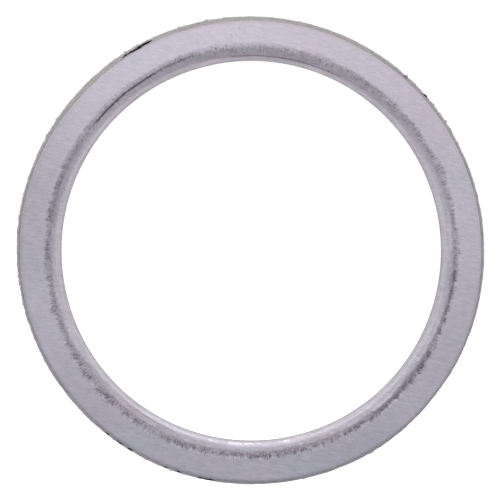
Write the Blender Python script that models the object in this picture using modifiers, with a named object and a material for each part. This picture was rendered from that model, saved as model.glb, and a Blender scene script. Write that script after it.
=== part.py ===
"""Exhaust gasket: a ring of thin sheet metal folded round a laminated fibre core.

The gasket lies on its back face with the bore along +Z. The origin is on the bore's axis, in
the plane of the back face. Lengths are in metres and angles in radians.
"""

import math

import bpy

# Overall sizes
BORE_DIAMETER = 0.0362
JACKET_DIAMETER = 0.0440
GASKET_THICKNESS = 0.0053

# Sheet metal
SHEET_THICKNESS = 0.00025
BEND_INSIDE_RADIUS = 0.0013
LIP_INSIDE_RADIUS = 0.00015
LIP_ANGLE = math.radians(35)
SHEET_EDGE_ROUND = 0.00004

# Fibre core
CORE_CLEARANCE = 0.0003
CORE_PROUD = 0.00033
CORE_EDGE_ROUND = 0.00012
PLY_COUNT = 5
PLY_GROOVE_DEPTH = 0.00008
PLY_GROOVE_WIDTH = 0.0003
FRAY_DEPTH = 0.00022
FRAY_LENGTH = 0.0009

# Facets
JACKET_STEPS = 72
CORE_STEPS = 96
BEND_SEGMENTS = 7
LIP_SEGMENTS = 2
CORE_CORNER_SEGMENTS = 3
SHARP_ANGLE = math.radians(65)

# Finishes: base colour, metallic, roughness
JACKET_FINISH = ((0.62, 0.60, 0.65, 1.0), 1.0, 0.38)
CORE_FINISH = ((0.33, 0.33, 0.29, 1.0), 0.0, 0.9)

# Sizes that follow from them
BORE_RADIUS = BORE_DIAMETER / 2
JACKET_RADIUS = JACKET_DIAMETER / 2
BEND_RADIUS = BEND_INSIDE_RADIUS + SHEET_THICKNESS
LIP_RADIUS = LIP_INSIDE_RADIUS + SHEET_THICKNESS
CORE_RADIUS = JACKET_RADIUS + CORE_PROUD
CORE_INSET = SHEET_THICKNESS + CORE_CLEARANCE


def clear_scene():
    for obj in list(bpy.data.objects):
        bpy.data.objects.remove(obj, do_unlink=True)


def arc(centre, radius, start, end, segments):
    """Points (r, z) along an arc, both ends included. Angles run from +r towards +z."""
    points = []
    for i in range(segments + 1):
        angle = start + (end - start) * i / segments
        points.append((centre[0] + radius * math.cos(angle), centre[1] + radius * math.sin(angle)))
    return points


def mirrored(half):
    """The points of the upper half, turned over about the gasket's middle plane."""
    return [(r, GASKET_THICKNESS - z) for r, z in reversed(half)]


def jacket_profile():
    """The outside of the C section, from the lower free edge round the bore to the upper one."""
    bend_centre = (BORE_RADIUS + BEND_RADIUS, GASKET_THICKNESS - BEND_RADIUS)
    lip_centre = (
        JACKET_RADIUS - LIP_RADIUS * math.sin(LIP_ANGLE),
        GASKET_THICKNESS - LIP_RADIUS,
    )
    up = math.pi / 2
    upper = arc(bend_centre, BEND_RADIUS, math.pi, up, BEND_SEGMENTS)
    upper += arc(lip_centre, LIP_RADIUS, up, up - LIP_ANGLE, LIP_SEGMENTS)
    return mirrored(upper) + upper


def ply_edges():
    """The core's outer wall from top to bottom: a flat land for each ply, with a groove between."""
    top = GASKET_THICKNESS - CORE_INSET
    ply_height = (top - CORE_INSET) / PLY_COUNT
    points = [(CORE_RADIUS, top)]
    for i in range(1, PLY_COUNT):
        joint = top - i * ply_height
        points.append((CORE_RADIUS, joint + PLY_GROOVE_WIDTH / 2))
        points.append((CORE_RADIUS - PLY_GROOVE_DEPTH, joint))
        points.append((CORE_RADIUS, joint - PLY_GROOVE_WIDTH / 2))
    points.append((CORE_RADIUS, CORE_INSET))
    return points


def core_profile():
    """(outer wall, inner wall) of the core. The inner wall follows the jacket's bends."""
    corner_centre = (BORE_RADIUS + BEND_RADIUS, GASKET_THICKNESS - BEND_RADIUS)
    corner_radius = BEND_INSIDE_RADIUS - CORE_CLEARANCE
    upper = arc(corner_centre, corner_radius, math.pi, math.pi / 2, CORE_CORNER_SEGMENTS)
    return ply_edges(), mirrored(upper) + upper


def add_profile(name, points, closed, collection):
    """A mesh of edges through the points, in the XZ plane at +X."""
    mesh = bpy.data.meshes.new(name)
    edges = [(i, i + 1) for i in range(len(points) - 1)]
    if closed:
        edges.append((len(points) - 1, 0))
    mesh.from_pydata([(r, 0.0, z) for r, z in points], edges, [])
    obj = bpy.data.objects.new(name, mesh)
    collection.objects.link(obj)
    return obj


def turn(obj, steps):
    """Turns the profile once round the bore's axis."""
    screw = obj.modifiers.new("turned", "SCREW")
    screw.axis = "Z"
    screw.angle = math.tau
    screw.steps = steps
    screw.render_steps = steps
    screw.use_smooth_shade = True


def thicken(obj, thickness):
    """Gives the turned surface the sheet's thickness, inwards from its outside."""
    sheet = obj.modifiers.new("sheet", "SOLIDIFY")
    sheet.thickness = thickness
    sheet.offset = -1.0
    sheet.use_even_offset = True


def ease_edges(obj, width):
    """Takes the sharpness off the cut edges."""
    bevel = obj.modifiers.new("eased_edges", "BEVEL")
    bevel.width = width
    bevel.segments = 1
    bevel.limit_method = "ANGLE"
    bevel.angle_limit = SHARP_ANGLE
    bevel.harden_normals = True


def fray(obj, points):
    """Makes the cut fibre edge wander in and out, over the first points of the profile."""
    group = obj.vertex_groups.new(name="cut_edge")
    group.add(list(range(points)), 1.0, "REPLACE")
    unevenness = bpy.data.textures.new("fibre_unevenness", "CLOUDS")
    unevenness.noise_scale = FRAY_LENGTH
    displace = obj.modifiers.new("frayed", "DISPLACE")
    displace.texture = unevenness
    displace.texture_coords = "LOCAL"
    displace.vertex_group = group.name
    displace.direction = "NORMAL"
    displace.strength = FRAY_DEPTH


def add_material(obj, finish):
    base_color, metallic, roughness = finish
    material = bpy.data.materials.new(obj.name)
    material.use_nodes = True
    shader = material.node_tree.nodes["Principled BSDF"]
    shader.inputs["Base Color"].default_value = base_color
    shader.inputs["Metallic"].default_value = metallic
    shader.inputs["Roughness"].default_value = roughness
    material.diffuse_color = base_color
    obj.data.materials.append(material)


def make_jacket(collection):
    """The folded sheet: flat faces, round bends at the bore and free edges rolled inwards."""
    jacket = add_profile("jacket", jacket_profile(), False, collection)
    turn(jacket, JACKET_STEPS)
    thicken(jacket, SHEET_THICKNESS)
    ease_edges(jacket, SHEET_EDGE_ROUND)
    add_material(jacket, JACKET_FINISH)


def make_core(collection):
    """The laminated fibre filler, proud of the jacket all round its outer edge."""
    outer_wall, inner_wall = core_profile()
    core = add_profile("core", outer_wall + inner_wall, True, collection)
    turn(core, CORE_STEPS)
    ease_edges(core, CORE_EDGE_ROUND)
    fray(core, len(outer_wall))
    add_material(core, CORE_FINISH)


def main():
    clear_scene()
    collection = bpy.data.collections.new("exhaust_gasket")
    bpy.context.scene.collection.children.link(collection)
    make_jacket(collection)
    make_core(collection)


main()
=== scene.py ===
"""The fine surface and the finishes of a metal-jacketed ring gasket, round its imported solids.

The frame lies with the bore along +Z. The photograph's right is +X and its top is +Y. Directions
round the ring are in degrees, counted from +X towards +Y. Lengths are in metres, and in
millimetres where a name ends in mm or a comment says so.
"""

import math
from types import SimpleNamespace

import bpy
import numpy as np
from bpy.props import FloatProperty, FloatVectorProperty, IntProperty, PointerProperty
from mathutils import Matrix, Vector


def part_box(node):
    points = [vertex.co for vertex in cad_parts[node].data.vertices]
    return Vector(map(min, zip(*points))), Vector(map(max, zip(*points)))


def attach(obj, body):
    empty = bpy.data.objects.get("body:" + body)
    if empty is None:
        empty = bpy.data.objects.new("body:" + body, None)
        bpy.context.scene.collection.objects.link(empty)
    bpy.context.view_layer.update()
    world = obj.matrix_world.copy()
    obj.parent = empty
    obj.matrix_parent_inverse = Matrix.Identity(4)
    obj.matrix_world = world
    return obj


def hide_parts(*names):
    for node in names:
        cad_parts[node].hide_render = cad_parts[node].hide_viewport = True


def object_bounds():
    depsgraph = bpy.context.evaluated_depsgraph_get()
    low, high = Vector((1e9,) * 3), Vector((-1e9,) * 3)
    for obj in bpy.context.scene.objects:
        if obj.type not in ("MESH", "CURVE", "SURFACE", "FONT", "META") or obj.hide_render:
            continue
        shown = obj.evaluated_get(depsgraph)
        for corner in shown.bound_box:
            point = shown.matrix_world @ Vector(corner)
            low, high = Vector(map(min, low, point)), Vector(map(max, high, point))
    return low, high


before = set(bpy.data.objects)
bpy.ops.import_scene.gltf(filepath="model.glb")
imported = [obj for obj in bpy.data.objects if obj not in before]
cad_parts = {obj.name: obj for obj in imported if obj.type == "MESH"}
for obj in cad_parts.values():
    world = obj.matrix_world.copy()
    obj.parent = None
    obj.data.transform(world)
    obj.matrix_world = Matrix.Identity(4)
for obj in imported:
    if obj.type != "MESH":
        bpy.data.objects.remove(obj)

bl_info = {
    "name": "Ring Gasket Finishes",
    "version": (1, 0, 0),
    "blender": (4, 5, 0),
    "location": "3D View > Sidebar > Gasket",
    "description": "Builds the fine surface and the finishes of a metal-jacketed ring gasket",
    "category": "Object",
}

BODY = "root"
MM = 0.001
TINY = 1e-6

# The frame's own sizes
CAD_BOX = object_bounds()
BOX_MARGIN = 0.005 * MM
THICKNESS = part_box("jacket")[1].z
JACKET_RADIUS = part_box("jacket")[1].x
CORE_LOW, CORE_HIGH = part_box("core")
CORE_REACH = min(CORE_HIGH.x, -CORE_LOW.x, CORE_HIGH.y, -CORE_LOW.y)


# Seeded unevenness that closes on itself round the ring

# Kinds: seed, cells round the ring and across it, layers, and how much strength each layer keeps
UNEVENNESS = {
    "band_middle": (0, 23, 1, 1, 1.0),
    "band_middle_fine": (1, 61, 1, 1, 1.0),
    "band_width": (2, 47, 1, 1, 1.0),
    "crinkle_ticks": (3, 400, 2, 2, 0.6),
    "crinkle_patches": (5, 130, 4, 3, 0.6),
    "crease_path": (9, 61, 1, 1, 1.0),
    "face_swell": (12, 36, 3, 3, 0.6),
    "free_edge": (20, 38, 1, 3, 0.6),
    "ply_drift": (0, 24, 2, 3, 0.6),
    "rough": (6, 90, 6, 3, 0.8),
    "flakes": (16, 300, 4, 2, 0.5),
    "teeth": (19, 560, 1, 1, 1.0),
    "core_top": (30, 200, 4, 3, 0.6),
    "outer_tear": (50, 680, 1, 1, 1.0),
    "outer_tear_slow": (51, 310, 1, 1, 1.0),
    "inner_tear": (52, 510, 1, 1, 1.0),
}
BACK_SEED = 40
FIBRE_SEED = 77


def smooth(x):
    """0 below 0, 1 above 1, and an S curve between."""
    x = np.clip(x, 0.0, 1.0)
    return x * x * (3.0 - 2.0 * x)


def hump(x, middle, width):
    """1 at the middle, falling away on both sides."""
    return np.exp(-(((x - middle) / width) ** 2))


def grid_noise(seed, round_cells, across_cells, turns, across):
    """A smooth random surface from -1 to 1. turns runs 0 to 1 round the ring, across 0 to 1."""
    grid = np.random.default_rng(seed).uniform(-1.0, 1.0, (round_cells, across_cells + 2))
    u = (turns % 1.0) * round_cells
    v = np.clip(across, 0.0, 1.0) * across_cells
    i = np.floor(u).astype(int)
    j = np.floor(v).astype(int)
    along_u = smooth(u - i)
    along_v = smooth(v - j)
    i, after = i % round_cells, (i + 1) % round_cells
    low = grid[i, j] * (1.0 - along_u) + grid[after, j] * along_u
    high = grid[i, j + 1] * (1.0 - along_u) + grid[after, j + 1] * along_u
    return low * (1.0 - along_v) + high * along_v


def uneven(kind, seed, turns, across=0.0):
    """One kind of unevenness from -1 to 1. Each of its layers is twice as fine as the last."""
    own_seed, round_cells, across_cells, layers, kept = UNEVENNESS[kind]
    total = 0.0
    weight = 0.0
    for layer in range(layers):
        cells = (round_cells * 2**layer, across_cells * 2**layer)
        strength = kept**layer
        total = total + strength * grid_noise(seed + own_seed + layer, *cells, turns, across)
        weight += strength
    return total / weight


def angle_gap(degrees, centre):
    """How far apart two directions are, in degrees from 0 to 180."""
    return np.abs((degrees - centre + 180.0) % 360.0 - 180.0)


def stretch(degrees, start, end, ease):
    """1 from one direction to another, and down to 0 within ease degrees outside them."""
    half = (end - start) / 2.0
    return 1.0 - smooth((angle_gap(degrees, start + half) - half) / ease)


def by_direction(degrees, table, column=1):
    """A value read from a table that starts with directions, which run from 0 to 360."""
    columns = list(zip(*table))
    return np.interp(degrees % 360.0, columns[0], columns[column])


def near_rim(radius, from_mm, rise_mm):
    """0 further in than a distance from the jacket's rim, and up to 1 over the rise."""
    return smooth((radius - (JACKET_RADIUS - from_mm * MM)) / (rise_mm * MM))


def box_reach(degrees):
    """How far from the axis the CAD box reaches in each direction, less a small margin."""
    x, y = np.cos(np.radians(degrees)), np.sin(np.radians(degrees))
    side_x = np.where(x > 0.0, CAD_BOX[1].x, -CAD_BOX[0].x) / np.maximum(np.abs(x), TINY)
    side_y = np.where(y > 0.0, CAD_BOX[1].y, -CAD_BOX[0].y) / np.maximum(np.abs(y), TINY)
    return np.minimum(side_x, side_y) - BOX_MARGIN


# Mesh building


def mesh_object(name, points, faces):
    """A smooth mesh from points and faces, in the scene's collection."""
    mesh = bpy.data.meshes.new(name)
    mesh.from_pydata(points.reshape(-1, 3).tolist(), [], faces)
    mesh.shade_smooth()
    obj = bpy.data.objects.new(name, mesh)
    bpy.context.scene.collection.objects.link(obj)
    return obj


def ring_object(name, radius, height, turns):
    """A closed ring of quads from columns x rows of points. Each row closes round the ring."""
    columns, rows = radius.shape
    angle = turns * math.tau
    points = np.stack((radius * np.cos(angle), radius * np.sin(angle), height), axis=-1)
    i, j = np.meshgrid(np.arange(columns), np.arange(rows), indexing="ij")
    next_i = (i + 1) % columns
    next_j = (j + 1) % rows
    corners = (i * rows + j, next_i * rows + j, next_i * rows + next_j, i * rows + next_j)
    return mesh_object(name, points, np.stack(corners, axis=-1).reshape(-1, 4).tolist())


def keep_values(obj, shape, **values):
    """Keeps each named value at the points of a ring, for the material to read."""
    for name, value in values.items():
        kept = np.ascontiguousarray(np.broadcast_to(value, shape), dtype=np.float32)
        attribute = obj.data.attributes.new(name, "FLOAT", "POINT")
        attribute.data.foreach_set("value", kept.ravel())


def place_piece(obj, material, replaced=None):
    """Gives a piece its material and its body, and hides the CAD node that it stands for."""
    obj.data.materials.append(material)
    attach(obj, BODY)
    if replaced:
        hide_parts(replaced)


# Rows of a section: radius, height, and the outward direction's r and z


def arc_rows(centre, radius, start, end, count, with_start=False):
    """Points along an arc, from start to end in degrees from +r towards +z."""
    angles = np.radians(np.linspace(start, end, count + 1))
    if not with_start:
        angles = angles[1:]
    r, z = np.cos(angles), np.sin(angles)
    return np.stack((centre[0] + radius * r, centre[1] + radius * z, r, z), axis=-1)


def line_rows(start, end, outward, count):
    """Points along a straight stretch, without its first point."""
    r = np.linspace(start[0], end[0], count + 1)[1:]
    z = np.linspace(start[1], end[1], count + 1)[1:]
    return np.stack((r, z, np.full(count, outward[0]), np.full(count, outward[1])), axis=-1)


def turned_over(rows):
    """The same rows on the other side of the gasket's middle plane, in the opposite order."""
    return rows[::-1] * np.array((1.0, -1.0, 1.0, -1.0)) + np.array((0.0, THICKNESS, 0.0, 0.0))


# The jacket

JACKET_COLUMNS = 1040
FRONT_ROWS = (5, 8, 7, 14, 8, 3)
BACK_ROWS = (4, 6, 4, 9, 5, 3)
HIDDEN_ROWS = (2, 2, 3)
BAND_ON_FACE = 0.4 * MM
STEEP_FROM = 130.0
BACK_TURN = 140.0

# How far the free edge of the sheet strays from its circle: direction, mm
EDGE_STRAY = (
    (0, -0.07), (30, -0.03), (60, -0.03), (90, 0.0), (112, -0.01), (130, -0.04), (142, -0.03),
    (152, 0.05), (165, 0.1), (180, 0.1), (206, 0.06), (240, 0.02), (270, 0.02), (292, 0.15),
    (316, 0.22), (330, 0.2), (342, 0.14), (360, -0.07),
)
STRAY_RISE_MM = (0.9, 0.9)

# How much the sheet's cut edge and rolled lip take their own darker, pinker colour, which is partly
# painted shade against the lamps' light on the lip: direction, 0 for the colour of the face to 1 for
# its own
EDGE_COLOUR_AND_SHADE = (
    (0, 0.2), (40, 0.5), (60, 0.9), (105, 0.9), (125, 0.3), (200, 0.2), (360, 0.2),
)
CUT_EDGE_RISE_MM = (0.27, 0.15)
PAST_BEND_KEPT_MM = (-1.0, 2.5)

# The crinkled band: direction, middle past the start of the bend in mm, half its width in mm,
# strength of its darkening, which is partly staining and partly painted shade
BAND = (
    (0, 0.24, 0.31, 1.1), (12, 0.26, 0.29, 0.9), (22, 0.24, 0.32, 0.76), (32, 0.34, 0.31, 0.66),
    (42, 0.38, 0.34, 0.52), (52, 0.43, 0.3, 0.34), (64, 0.42, 0.36, 0.17), (80, 0.38, 0.41, 0.17),
    (92, 0.37, 0.42, 0.22), (101, 0.36, 0.37, 0.28), (110, 0.29, 0.31, 0.62),
    (120, 0.37, 0.3, 0.28), (140, 0.3, 0.33, 0.4), (150, 0.25, 0.31, 1.0),
    (160, 0.27, 0.34, 1.25), (172, 0.3, 0.37, 1.25), (186, 0.29, 0.41, 1.28),
    (200, 0.27, 0.41, 1.22), (212, 0.3, 0.42, 1.42), (228, 0.27, 0.41, 1.38),
    (245, 0.28, 0.41, 1.34), (262, 0.26, 0.44, 1.5), (282, 0.26, 0.38, 1.4),
    (300, 0.21, 0.41, 1.46), (312, 0.2, 0.33, 1.88), (322, 0.24, 0.36, 1.92),
    (332, 0.28, 0.35, 1.5), (342, 0.28, 0.37, 1.48), (351, 0.3, 0.33, 1.35),
    (360, 0.24, 0.31, 1.1),
)
BAND_WANDER_MM = 0.04
BAND_WIDTH_CHANGE = 0.25
FAR_FROM_BAND = 4.0

# The crinkles' relief: the stretch that their pattern spans, past the start of the bend in mm,
# and their depth all over, in ticks and in patches, as shares of the deepest
CRINKLE_SPAN_MM = (-0.6, 1.8)
CRINKLE_DEPTHS = (0.45, 0.35, 0.45)
SWELL_SPAN_MM = (18.0, 22.0)

# Where the fold is brighter or darker: direction, how much so beside the crinkled band, in the turn
# of the fold, near the bore and on the face before the fold. Beside the band this is burnished metal
# where above 0 and duller metal where below, in the turn of the fold mostly painted shade, and near
# the bore a painted highlight
POLISH_AND_PAINTED_LIGHT = (
    (0, 0.1, -0.1, 0.0, 0.2), (10, 0.5, 0.15, 0.0, 0.3), (20, 0.9, 0.4, 0.0, 0.2),
    (32, 0.6, 0.0, 0.0, 0.0), (50, 0.2, -0.6, 0.0, 0.0), (65, 0.3, -0.5, -0.1, -0.05),
    (80, 0.3, -0.5, -0.75, -0.2), (94, 0.3, -0.4, -0.3, -0.2), (106, 0.4, -0.5, -0.1, 0.0),
    (120, 0.5, -0.2, 0.0, 0.0), (138, 0.9, 0.2, 0.2, 0.0), (158, -0.25, -0.3, 0.2, 0.3),
    (180, -0.6, -0.45, 0.1, 0.0), (215, -0.2, -0.5, 0.2, 0.0), (230, 0.2, -1.0, 0.6, 0.0),
    (240, 0.4, -1.2, 1.2, 0.0), (262, 0.6, -1.1, 1.1, 0.0), (276, 0.85, -0.8, 1.1, 0.0),
    (290, 0.7, -0.9, 0.6, 0.0), (306, 0.3, -0.65, 0.0, 0.0), (320, -0.4, -1.1, 0.0, 0.0),
    (332, -0.4, -0.6, 0.0, 0.0), (342, -1.2, -0.5, -0.2, 0.0), (350, -1.2, -0.7, -0.1, 0.1),
    (360, 0.1, -0.1, 0.0, 0.2),
)
POLISH_PLACES_MM = ((0.74, 0.20), (1.02, 0.15), (1.42, 0.20), (-0.14, 0.18))

# Painted shade on the flat face and the rolled lip, and a little painted light on the face where
# the share is below 0: direction, share
FACE_SHADE = (
    (0, 0.02), (18, 0.05), (30, 0.07), (50, 0.04), (72, 0.02), (85, -0.03), (102, -0.035),
    (120, -0.01), (132, 0.01), (142, 0.05), (152, 0.1), (162, 0.145), (172, 0.14), (182, 0.1),
    (192, 0.04), (202, 0.0), (220, 0.045), (236, 0.02), (275, 0.0), (300, 0.05), (318, 0.0),
    (330, 0.07), (350, 0.055), (360, 0.02),
)
LIP_SHADE = (
    (0, 0.05), (30, 0.09), (90, 0.05), (128, 0.04), (145, 0.12), (178, 0.12), (205, 0.0),
    (360, 0.05),
)
FACE_SHADE_END_MM = 0.6
FACE_SHADE_EASE_MM = 0.8
LIP_RISE_MM = (0.35, 0.15)

# Dark lines along the fold, each a shallow groove whose dark is painted shade: sharp creases where
# the tool's edge bit in, and lines where the fold's reflection turns dark. First and last direction,
# place past the start of the bend at each in mm, strength
CREASE_AND_SHADE_LINES = (
    (108.0, 121.0, 0.3, 0.45, 0.42), (120.0, 139.0, 0.45, 0.49, 0.92),
    (147.0, 165.0, 0.46, 0.42, 0.15), (64.0, 94.0, 1.18, 1.14, 0.55),
    (235.0, 244.0, 1.02, 1.04, 0.25), (345.0, 352.0, 0.2, 0.17, 0.5),
)
CREASE_WIDTH_MM = 0.085
CREASE_WANDER_MM = 0.03
CREASE_EASE = 4.0

# Small dark spots painted on the front face, with no relief: x, y and radius in mm, strength
DARK_SPOTS = (
    (-1.12, 21.19, 0.13, 0.45), (-1.88, 20.57, 0.11, 0.3), (-1.48, 20.69, 0.1, 0.28),
    (-1.77, 20.43, 0.09, 0.25), (4.41, 20.68, 0.1, 0.22), (5.12, 20.68, 0.1, 0.22),
    (-6.41, -20.55, 0.12, 0.35), (-8.0, -18.9, 0.11, 0.3), (-8.35, -18.8, 0.1, 0.28),
)
SPOT_FLOOR = 0.4

# Where the bend near the bore gets painted glints and lower roughness: place past the start of the
# bend and width, directions
GLINT_PLACE_MM = (1.42, 0.13)
GLINT_STRETCH = (257.0, 281.0)
GLINT_EASE = 6.0


def jacket_outside(size, counts):
    """The outside of the upper half, from its free edge to half way down the bore."""
    edge, face, near_bend, crinkled, steep, wall = counts
    bend = size.sheet + size.bend_inside
    lip = size.sheet + size.lip_inside
    bore = size.bore / 2
    bend_start = bore + bend
    lip_start = JACKET_RADIUS - lip * math.sin(size.lip_angle)
    bend_centre = (bend_start, THICKNESS - bend)
    lip_centre = (lip_start, THICKNESS - lip)
    up = (0.0, 1.0)
    band_start = bend_start + BAND_ON_FACE
    return np.concatenate((
        arc_rows(lip_centre, lip, 90.0 - math.degrees(size.lip_angle), 90.0, edge, True),
        line_rows((lip_start, THICKNESS), (band_start, THICKNESS), up, face),
        line_rows((band_start, THICKNESS), (bend_start, THICKNESS), up, near_bend),
        arc_rows(bend_centre, bend, 90.0, STEEP_FROM, crinkled),
        arc_rows(bend_centre, bend, STEEP_FROM, 180.0, steep),
        line_rows((bore, bend_centre[1]), (bore, THICKNESS / 2), (-1.0, 0.0), wall),
    ))


def jacket_inside(size):
    """The hidden inside of the upper half, from its free edge to half way down the bore."""
    edge, face, bend = HIDDEN_ROWS
    lip = size.sheet + size.lip_inside
    bend_start = size.bore / 2 + size.sheet + size.bend_inside
    lip_start = JACKET_RADIUS - lip * math.sin(size.lip_angle)
    top = THICKNESS - size.sheet
    bend_centre = (bend_start, top - size.bend_inside)
    lip_centre = (lip_start, THICKNESS - lip)
    lip_end = 90.0 - math.degrees(size.lip_angle)
    return np.concatenate((
        arc_rows(lip_centre, size.lip_inside, lip_end, 90.0, edge, True),
        line_rows((lip_start, top), (bend_start, top), (0.0, -1.0), face),
        arc_rows(bend_centre, size.bend_inside, 90.0, 180.0, bend),
    ))


def past_bend_start(size, rows):
    """How far each row is from the start of its bend towards the bore, along the sheet, in mm."""
    bend = size.sheet + size.bend_inside
    bend_start = size.bore / 2 + bend
    on_face = bend_start - rows[:, 0]
    on_bend = bend * np.arctan2(-rows[:, 2], np.abs(rows[:, 3]))
    return np.where(rows[:, 2] < -TINY, on_bend, on_face) / MM


def crinkle_place(degrees, turns, along_mm, seed):
    """How far each point is from the middle of the crinkled band, in half widths of the band."""
    wander = uneven("band_middle", seed, turns) + uneven("band_middle_fine", seed, turns)
    centre = by_direction(degrees, BAND, 1) + BAND_WANDER_MM * wander
    change = 1.0 + BAND_WIDTH_CHANGE * uneven("band_width", seed, turns)
    half = by_direction(degrees, BAND, 2) * change
    return np.clip((along_mm - centre) / half, -FAR_FROM_BAND, FAR_FROM_BAND)


def crease_place(degrees, turns, along_mm, seed):
    """(distance from the nearest crease in mm, how strong that crease is)."""
    strength = np.zeros_like(degrees)
    path = np.zeros_like(degrees)
    for first, last, from_mm, to_mm, depth in CREASE_AND_SHADE_LINES:
        here = stretch(degrees, first, last, CREASE_EASE) * depth
        along_it = np.clip((degrees - first) / (last - first), 0.0, 1.0)
        path = np.where(here > strength, from_mm + (to_mm - from_mm) * along_it, path)
        strength = np.maximum(strength, here)
    off = along_mm - path - CREASE_WANDER_MM * uneven("crease_path", seed, turns)
    return np.clip(off, -1.0, 1.0), strength


def make_jacket(size, material):
    """The folded sheet as one closed ring, with its crinkled outside and its hidden inside."""
    turns = (np.arange(JACKET_COLUMNS) / JACKET_COLUMNS)[:, None]
    degrees = turns * 360.0
    back_degrees = degrees + BACK_TURN
    front = jacket_outside(size, FRONT_ROWS)
    back = turned_over(jacket_outside(size, BACK_ROWS))[1:]
    inside = jacket_inside(size)
    hidden = np.concatenate((turned_over(inside)[::-1], inside[::-1]))
    rows = np.concatenate((front, back, hidden))
    on_outside = (np.arange(len(rows)) < len(front) + len(back))[None, :]
    row_radius, row_height, outward_r, outward_z = (rows[None, :, k] for k in range(4))
    is_front = row_height > THICKNESS / 2

    along = past_bend_start(size, rows)[None, :]
    front_place = crinkle_place(degrees, turns, along, size.seed)
    back_place = crinkle_place(back_degrees, turns, along, size.seed + BACK_SEED)
    place = np.where(is_front, front_place, back_place)
    # Strength of the band's darkening by direction: partly staining, partly painted shade
    stained = by_direction(degrees, BAND, 3), by_direction(back_degrees, BAND, 3)
    crease_off, creased = crease_place(degrees, turns, along, size.seed)
    creased = creased * is_front

    first, last = CRINKLE_SPAN_MM
    across = np.clip((along - first) / (last - first), 0.0, 1.0)
    depth, tick_depth, patch_depth = CRINKLE_DEPTHS
    depth = depth + tick_depth * uneven("crinkle_ticks", size.seed, turns, across)
    depth = depth + patch_depth * uneven("crinkle_patches", size.seed, turns, across)
    crinkle = np.exp(-(place**4)) * depth
    line = creased * hump(crease_off, 0.0, CREASE_WIDTH_MM)
    first, last = SWELL_SPAN_MM
    across = np.clip((row_radius / MM - first) / (last - first), 0.0, 1.0)
    swell = uneven("face_swell", size.seed, turns, across)
    sunk = size.crinkle_depth * np.clip(crinkle, 0.0, 1.0) + size.line_depth * line
    sunk = sunk + size.face_waviness * (0.5 + 0.5 * swell)
    sunk = np.where(on_outside, sunk, 0.0)

    # The free edges wander in and out, and take the lip and a little of the face with them.
    front_stray = by_direction(degrees, EDGE_STRAY) * MM
    back_stray = by_direction(back_degrees, EDGE_STRAY) * MM
    fine_stray = size.edge_wander * uneven("free_edge", size.seed, turns)
    stray = np.where(is_front, front_stray, back_stray) + fine_stray

    radius = row_radius - outward_r * sunk + stray * near_rim(row_radius, *STRAY_RISE_MM)
    height = row_height - outward_z * sunk
    jacket = ring_object("sheet_jacket", radius, height, turns)

    edge = np.where(on_outside, near_rim(row_radius, *CUT_EDGE_RISE_MM), 1.0)
    # Burnished metal, with painted shade in the turn of the fold and a painted highlight near the
    # bore
    polish_and_light = 0.0
    for column, (middle, width) in enumerate(POLISH_PLACES_MM, 1):
        polish_and_light = polish_and_light + by_direction(degrees, POLISH_AND_PAINTED_LIGHT, column) * hump(along, middle, width)
    # Painted shade on the face before the fold and on the rolled lip
    painted_shade = by_direction(degrees, FACE_SHADE) * smooth((FACE_SHADE_END_MM - along) / FACE_SHADE_EASE_MM)
    painted_shade = painted_shade + by_direction(degrees, LIP_SHADE) * near_rim(row_radius, *LIP_RISE_MM)
    glints = hump(along, *GLINT_PLACE_MM) * stretch(degrees, *GLINT_STRETCH, GLINT_EASE)
    keep_values(
        jacket, radius.shape, band_place=place, band_marks=np.where(is_front, *stained),
        crease_off=crease_off, creased=creased, past_bend=np.clip(along, *PAST_BEND_KEPT_MM),
        cut_edge=edge * by_direction(degrees, EDGE_COLOUR_AND_SHADE), polished=polish_and_light * is_front,
        dulled=painted_shade * is_front, rubbed=glints * is_front,
    )
    place_piece(jacket, material, "jacket")


# The core

CORE_COLUMNS = 1360
WALL_ROWS = 35
CORNER_ROWS = 4
PLY_COUNT = 5
PLY_DRIFT = 0.10
CORE_EDGE_ROUND = 0.08 * MM
CORE_CUT_RISE_MM = (0.15, 0.3)
CORE_TOP_SPAN_MM = (21.0, 22.5)
CORE_FACE_STEPS_MM = (0.11, 0.14, 0.17, 0.20, 0.24, 0.28, 0.33, 0.38, 0.45, 0.70)

# How far the cut edge stands from its mean circle: direction, mm
CORE_STRAY = (
    (0, -0.1), (18, -0.09), (25, -0.12), (31, -0.08), (40, -0.04), (50, -0.02), (62, 0.01),
    (90, 0.03), (106, 0.06), (113, 0.07), (126, 0.11), (140, 0.09), (150, 0.07), (160, 0.04),
    (166, 0.05), (176, 0.01), (188, 0.0), (200, 0.02), (210, 0.02), (225, -0.01), (240, -0.01),
    (270, -0.02), (285, 0.02), (295, 0.08), (305, 0.1), (314, 0.06), (322, 0.02), (332, 0.04),
    (345, -0.03), (360, -0.1),
)

# How ragged the cut edge is: direction, share of the full depth
RAGGEDNESS = (
    (0, 0.6), (22, 1.0), (40, 1.0), (52, 0.9), (68, 0.6), (90, 0.6), (98, 0.9), (126, 0.9),
    (140, 0.6), (150, 0.8), (164, 0.9), (170, 1.7), (176, 2.4), (184, 1.7), (205, 0.8),
    (235, 0.6), (262, 0.35), (290, 0.3), (302, 0.7), (320, 0.4), (360, 0.6),
)
FRAY_SHARES = {"rough": 0.35, "flakes": 0.9, "teeth": 0.9}
FRAY_LEVEL = 0.50
TEETH_LEAN = 0.4
SAG_SHARE = 0.5
STRAIGHT_OUT = 0.9
PARTLY_TURNED = 0.3
FULLY_RAISED = 0.08 * MM

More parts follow.
